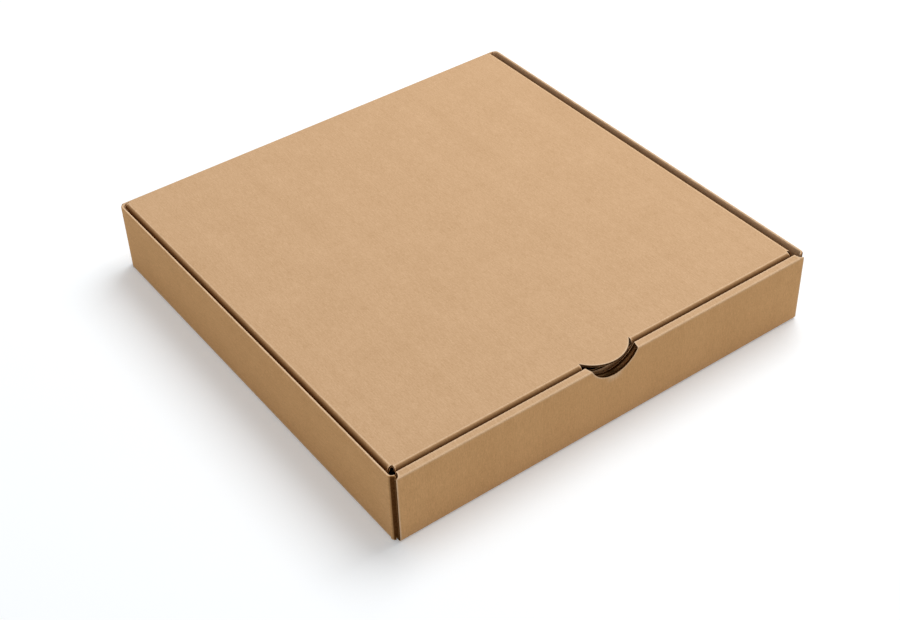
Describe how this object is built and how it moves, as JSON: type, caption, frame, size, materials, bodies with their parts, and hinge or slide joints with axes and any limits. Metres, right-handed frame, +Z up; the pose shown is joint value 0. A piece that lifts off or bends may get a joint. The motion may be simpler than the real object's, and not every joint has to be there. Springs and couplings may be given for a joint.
{
  "type": "pizza box",
  "caption": "Plain square pizza box folded from corrugated card, with a rolled front wall, a thumb notch and a lid that hinges at the back and tucks in.",
  "frame": {"origin": "middle of the underside, on the surface the box stands on", "axes": "+Z up, front wall with the thumb notch towards -Y, hinge at +Y, +X to the right seen from the front"},
  "size_m": [0.3082, 0.3118, 0.05],
  "materials": {
    "kraft_tray": "plain brown kraft board, matt, faint fibre and flute lines",
    "kraft_lid": "plain brown kraft board, matt, faint fibre and flute lines"
  },
  "bodies": {
    "tray": {"tray": "kraft_tray"},
    "lid": {"lid": "kraft_lid"}
  },
  "joints": [
    {"name": "lid_hinge", "type": "hinge", "parent": "tray", "child": "lid", "pos_m": [0, 0.15515, 0.0482], "axis": [-1, 0, 0], "range_deg": [0, 180]}
  ]
}
